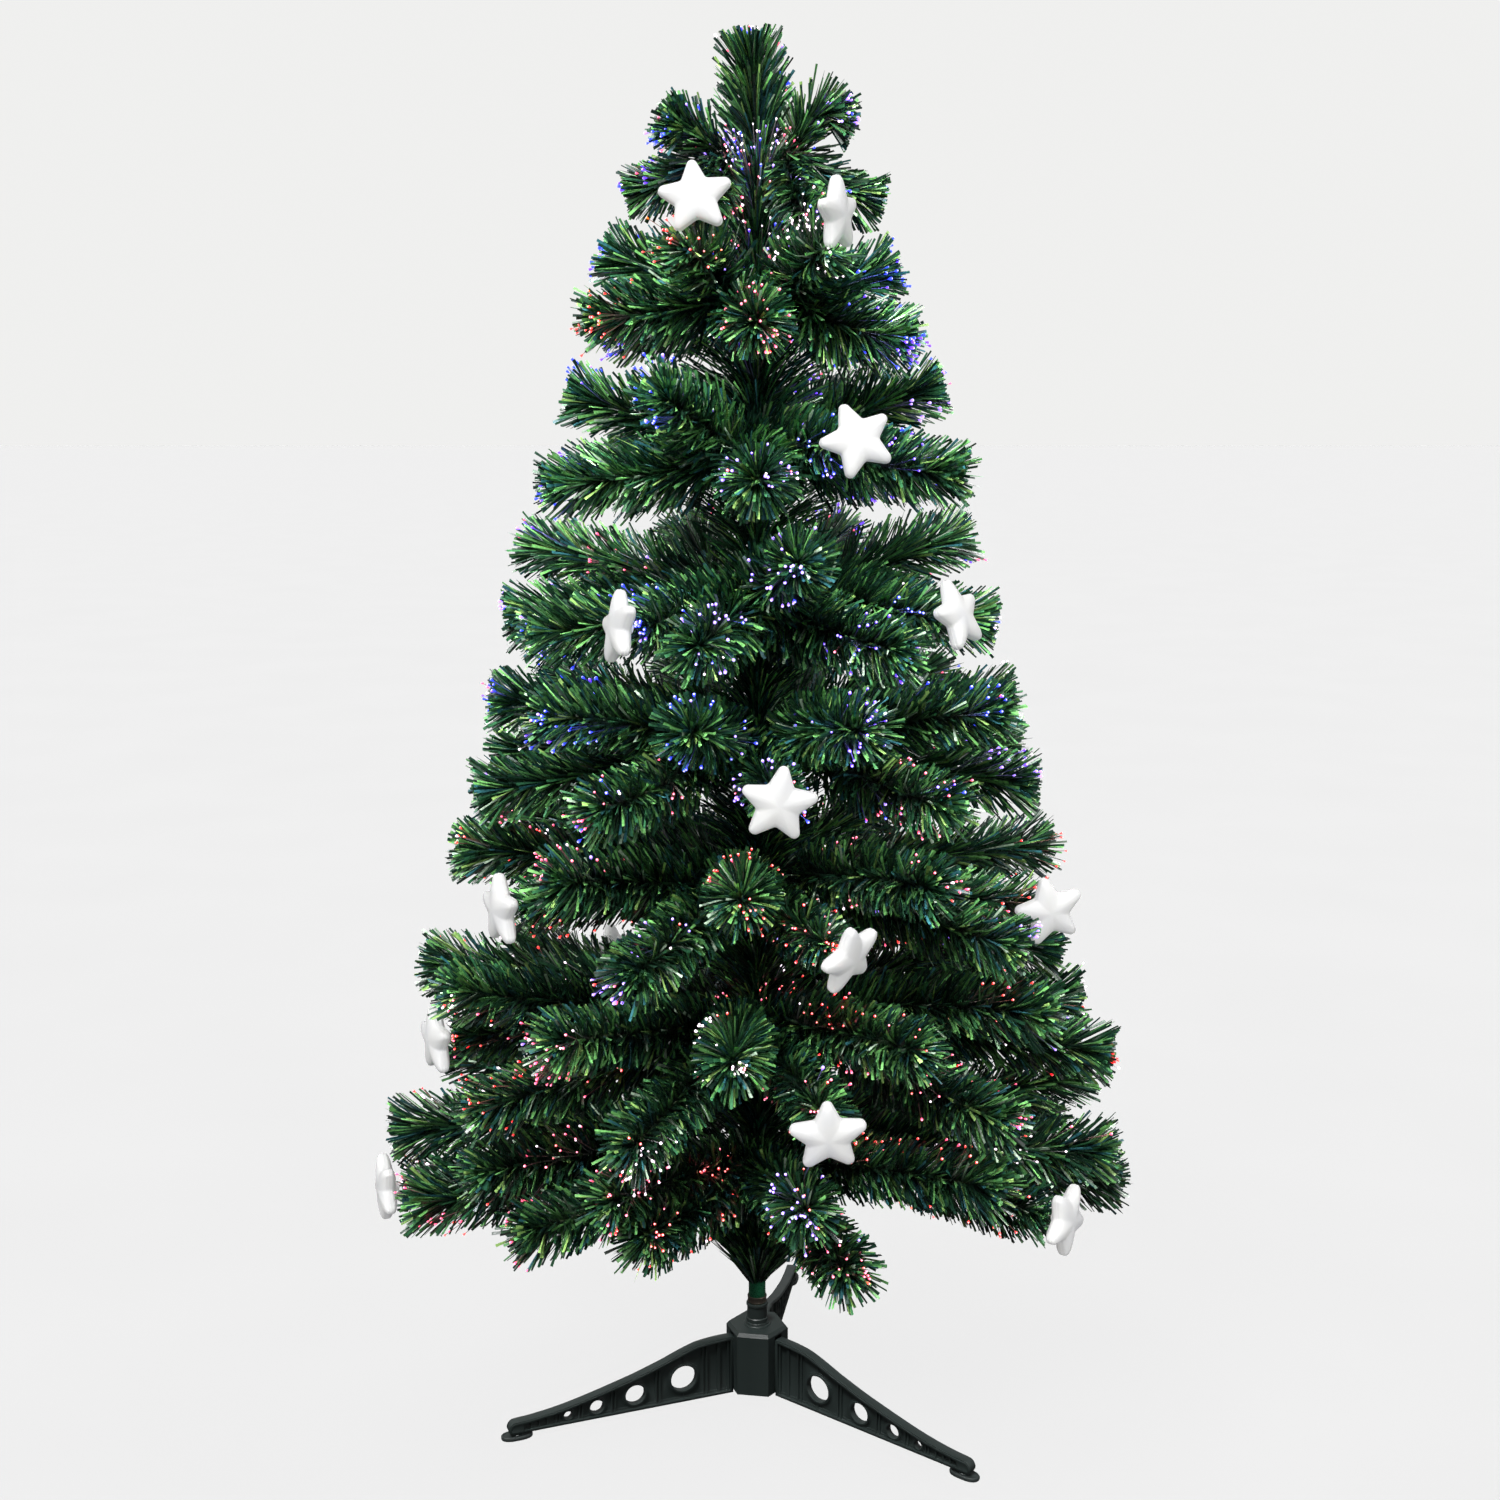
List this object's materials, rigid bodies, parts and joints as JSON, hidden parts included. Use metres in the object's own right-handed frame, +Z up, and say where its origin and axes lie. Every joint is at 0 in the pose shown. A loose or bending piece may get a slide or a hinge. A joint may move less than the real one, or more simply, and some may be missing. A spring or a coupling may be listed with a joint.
{
  "type": "fiber optic christmas tree",
  "caption": "Artificial tree with hinged needle branches, light-guide fibre tips and frosted star ornaments, on a plastic tripod stand that holds the lamp.",
  "frame": {"origin": "on the floor under the trunk's axis", "axes": "+Z up along the trunk, -Y towards the front, +X to the right seen from the front"},
  "size_m": [0.6587, 0.5958, 1.19],
  "materials": {
    "stand_plastic": "satin",
    "foot": "matte",
    "lamp_black": "satin",
    "board": "satin",
    "window": "gloss",
    "trunk_paint": "gloss",
    "ring_metal": "satin",
    "ferrule_brass": "satin",
    "fibres": "gloss",
    "needles": "satin",
    "star": "satin"
  },
  "bodies": {
    "stand": {"stand_hub": "stand_plastic", "lamp_housing": "lamp_black", "lamp_board": "board", "lamp_window": "window", "power_inlet": "lamp_black"},
    "leg_1": {"leg_1": "stand_plastic", "foot_pad_1": "foot"},
    "leg_2": {"leg_2": "stand_plastic", "foot_pad_2": "foot"},
    "leg_3": {"leg_3": "stand_plastic", "foot_pad_3": "foot"},
    "trunk": {"trunk_lower": "trunk_paint", "trunk_upper": "trunk_paint", "trunk_ring": "ring_metal", "fibre_bundle": "fibres", "fibre_ferrule": "ferrule_brass", "tree_top": "needles"},
    "b_01": {"branch_01": "needles"},
    "b_02": {"branch_02": "needles", "star_13": "star"},
    "b_03": {"branch_03": "needles"},
    "b_04": {"branch_04": "needles", "star_12": "star"},
    "b_05": {"branch_05": "needles", "star_11": "star"},
    "b_06": {"branch_06": "needles"},
    "b_07": {"branch_07": "needles"},
    "b_08": {"branch_08": "needles", "star_15": "star", "star_10": "star"},
    "b_09": {"branch_09": "needles", "star_08": "star", "star_09": "star"},
    "b_10": {"branch_10": "needles", "star_07": "star"},
    "b_11": {"branch_11": "needles"},
    "b_12": {"branch_12": "needles"},
    "b_13": {"branch_13": "needles", "star_06": "star"},
    "b_14": {"branch_14": "needles"},
    "b_15": {"branch_15": "needles"},
    "b_16": {"branch_16": "needles"},
    "b_17": {"branch_17": "needles", "star_04": "star"},
    "b_18": {"branch_18": "needles", "star_05": "star"},
    "b_19": {"branch_19": "needles", "star_14": "star"},
    "b_20": {"branch_20": "needles", "star_03": "star"},
    "b_21": {"branch_21": "needles"},
    "b_22": {"branch_22": "needles"},
    "b_23": {"branch_23": "needles"},
    "b_24": {"branch_24": "needles"},
    "b_25": {"branch_25": "needles"},
    "b_26": {"branch_26": "needles", "star_01": "star"},
    "b_27": {"branch_27": "needles", "star_02": "star"},
    "b_28": {"branch_28": "needles"}
  },
  "joints": [
    {"name": "leg_1_slide", "type": "slide", "parent": "stand", "child": "leg_1", "axis": [-0.9336, -0.3584, 0], "range_m": [0, 0.009]},
    {"name": "leg_2_slide", "type": "slide", "parent": "stand", "child": "leg_2", "axis": [0.7771, -0.6293, 0], "range_m": [0, 0.009]},
    {"name": "leg_3_slide", "type": "slide", "parent": "stand", "child": "leg_3", "axis": [0.1564, 0.9877, 0], "range_m": [0, 0.009]},
    {"name": "trunk_lift", "type": "slide", "parent": "stand", "child": "trunk", "axis": [0, 0, 1], "range_m": [0, 0.034]},
    {"name": "fold_01", "type": "hinge", "parent": "trunk", "child": "b_01", "pos_m": [0.00059, -0.01349, 0.24], "axis": [-0.999, -0.0436, 0], "range_deg": [0, 40]},
    {"name": "fold_02", "type": "hinge", "parent": "trunk", "child": "b_02", "pos_m": [0.0135, 0.00035, 0.24], "axis": [0.0262, -0.9997, 0], "range_deg": [0, 40]},
    {"name": "fold_03", "type": "hinge", "parent": "trunk", "child": "b_03", "pos_m": [-0.00059, 0.01349, 0.24], "axis": [0.999, 0.0436, 0], "range_deg": [0, 40]},
    {"name": "fold_04", "type": "hinge", "parent": "trunk", "child": "b_04", "pos_m": [-0.01349, -0.00059, 0.24], "axis": [-0.0436, 0.999, 0], "range_deg": [0, 40]},
    {"name": "fold_05", "type": "hinge", "parent": "trunk", "child": "b_05", "pos_m": [-0.00269, -0.01323, 0.366], "axis": [-0.9799, 0.1994, 0], "range_deg": [0, 40]},
    {"name": "fold_06", "type": "hinge", "parent": "trunk", "child": "b_06", "pos_m": [0.01323, -0.00269, 0.366], "axis": [-0.1994, -0.9799, 0], "range_deg": [0, 40]},
    {"name": "fold_07", "type": "hinge", "parent": "trunk", "child": "b_07", "pos_m": [0.00269, 0.01323, 0.366], "axis": [0.9799, -0.1994, 0], "range_deg": [0, 40]},
    {"name": "fold_08", "type": "hinge", "parent": "trunk", "child": "b_08", "pos_m": [-0.01291, 0.00395, 0.366], "axis": [0.2924, 0.9563, 0], "range_deg": [0, 40]},
    {"name": "fold_09", "type": "hinge", "parent": "trunk", "child": "b_09", "pos_m": [-0.00462, -0.01269, 0.49], "axis": [-0.9397, 0.342, 0], "range_deg": [0, 40]},
    {"name": "fold_10", "type": "hinge", "parent": "trunk", "child": "b_10", "pos_m": [0.0126, -0.00484, 0.49], "axis": [-0.3584, -0.9336, 0], "range_deg": [0, 40]},
    {"name": "fold_11", "type": "hinge", "parent": "trunk", "child": "b_11", "pos_m": [0.00484, 0.0126, 0.49], "axis": [0.9336, -0.3584, 0], "range_deg": [0, 40]},
    {"name": "fold_12", "type": "hinge", "parent": "trunk", "child": "b_12", "pos_m": [-0.0126, 0.00484, 0.49], "axis": [0.3584, 0.9336, 0], "range_deg": [0, 40]},
    {"name": "fold_13", "type": "hinge", "parent": "trunk", "child": "b_13", "pos_m": [-0.00715, -0.01145, 0.61], "axis": [-0.848, 0.5299, 0], "range_deg": [0, 40]},
    {"name": "fold_14", "type": "hinge", "parent": "trunk", "child": "b_14", "pos_m": [0.01145, -0.00715, 0.61], "axis": [-0.5299, -0.848, 0], "range_deg": [0, 40]},
    {"name": "fold_15", "type": "hinge", "parent": "trunk", "child": "b_15", "pos_m": [0.00715, 0.01145, 0.61], "axis": [0.848, -0.5299, 0], "range_deg": [0, 40]},
    {"name": "fold_16", "type": "hinge", "parent": "trunk", "child": "b_16", "pos_m": [-0.01145, 0.00715, 0.61], "axis": [0.5299, 0.848, 0], "range_deg": [0, 40]},
    {"name": "fold_17", "type": "hinge", "parent": "trunk", "child": "b_17", "pos_m": [-0.00315, -0.01313, 0.732], "axis": [-0.9724, 0.2334, 0], "range_deg": [0, 40]},
    {"name": "fold_18", "type": "hinge", "parent": "trunk", "child": "b_18", "pos_m": [0.01302, 0.00359, 0.732], "axis": [0.2656, -0.9641, 0], "range_deg": [0, 40]},
    {"name": "fold_19", "type": "hinge", "parent": "trunk", "child": "b_19", "pos_m": [-0.0097, 0.0094, 0.732], "axis": [0.6959, 0.7181, 0], "range_deg": [0, 40]},
    {"name": "fold_20", "type": "hinge", "parent": "trunk", "child": "b_20", "pos_m": [-0.00349, -0.01304, 0.855], "axis": [-0.9659, 0.2588, 0], "range_deg": [0, 40]},
    {"name": "fold_21", "type": "hinge", "parent": "trunk", "child": "b_21", "pos_m": [0.01304, 0.00349, 0.855], "axis": [0.2588, -0.9659, 0], "range_deg": [0, 40]},
    {"name": "fold_22", "type": "hinge", "parent": "trunk", "child": "b_22", "pos_m": [-0.00955, 0.00955, 0.855], "axis": [0.7071, 0.7071, 0], "range_deg": [0, 40]},
    {"name": "fold_23", "type": "hinge", "parent": "trunk", "child": "b_23", "pos_m": [-0.00955, -0.00955, 0.975], "axis": [-0.7071, 0.7071, 0], "range_deg": [0, 40]},
    {"name": "fold_24", "type": "hinge", "parent": "trunk", "child": "b_24", "pos_m": [0.01304, -0.00349, 0.975], "axis": [-0.2588, -0.9659, 0], "range_deg": [0, 40]},
    {"name": "fold_25", "type": "hinge", "parent": "trunk", "child": "b_25", "pos_m": [-0.00349, 0.01304, 0.975], "axis": [0.9659, 0.2588, 0], "range_deg": [0, 40]},
    {"name": "fold_26", "type": "hinge", "parent": "trunk", "child": "b_26", "pos_m": [-0.01203, -0.00613, 1.098], "axis": [-0.454, 0.891, 0], "range_deg": [0, 40]},
    {"name": "fold_27", "type": "hinge", "parent": "trunk", "child": "b_27", "pos_m": [0.0125, -0.0051, 1.098], "axis": [-0.3778, -0.9259, 0], "range_deg": [0, 40]},
    {"name": "fold_28", "type": "hinge", "parent": "trunk", "child": "b_28", "pos_m": [0.00047, 0.01349, 1.098], "axis": [0.9994, -0.0349, 0], "range_deg": [0, 40]}
  ],
  "couplings": [
    {"joint": "fold_01", "follows": "fold_08", "ratio": 1},
    {"joint": "fold_02", "follows": "fold_08", "ratio": 1},
    {"joint": "fold_03", "follows": "fold_08", "ratio": 1},
    {"joint": "fold_04", "follows": "fold_08", "ratio": 1},
    {"joint": "fold_05", "follows": "fold_08", "ratio": 1},
    {"joint": "fold_06", "follows": "fold_08", "ratio": 1},
    {"joint": "fold_07", "follows": "fold_08", "ratio": 1},
    {"joint": "fold_09", "follows": "fold_08", "ratio": 1},
    {"joint": "fold_10", "follows": "fold_08", "ratio": 1},
    {"joint": "fold_11", "follows": "fold_08", "ratio": 1},
    {"joint": "fold_12", "follows": "fold_08", "ratio": 1},
    {"joint": "fold_13", "follows": "fold_08", "ratio": 1},
    {"joint": "fold_14", "follows": "fold_08", "ratio": 1},
    {"joint": "fold_15", "follows": "fold_08", "ratio": 1},
    {"joint": "fold_16", "follows": "fold_08", "ratio": 1},
    {"joint": "fold_17", "follows": "fold_08", "ratio": 1},
    {"joint": "fold_18", "follows": "fold_08", "ratio": 1},
    {"joint": "fold_19", "follows": "fold_08", "ratio": 1},
    {"joint": "fold_20", "follows": "fold_08", "ratio": 1},
    {"joint": "fold_21", "follows": "fold_08", "ratio": 1},
    {"joint": "fold_22", "follows": "fold_08", "ratio": 1},
    {"joint": "fold_23", "follows": "fold_08", "ratio": 1},
    {"joint": "fold_24", "follows": "fold_08", "ratio": 1},
    {"joint": "fold_25", "follows": "fold_08", "ratio": 1},
    {"joint": "fold_26", "follows": "fold_08", "ratio": 1},
    {"joint": "fold_27", "follows": "fold_08", "ratio": 1},
    {"joint": "fold_28", "follows": "fold_08", "ratio": 1}
  ]
}
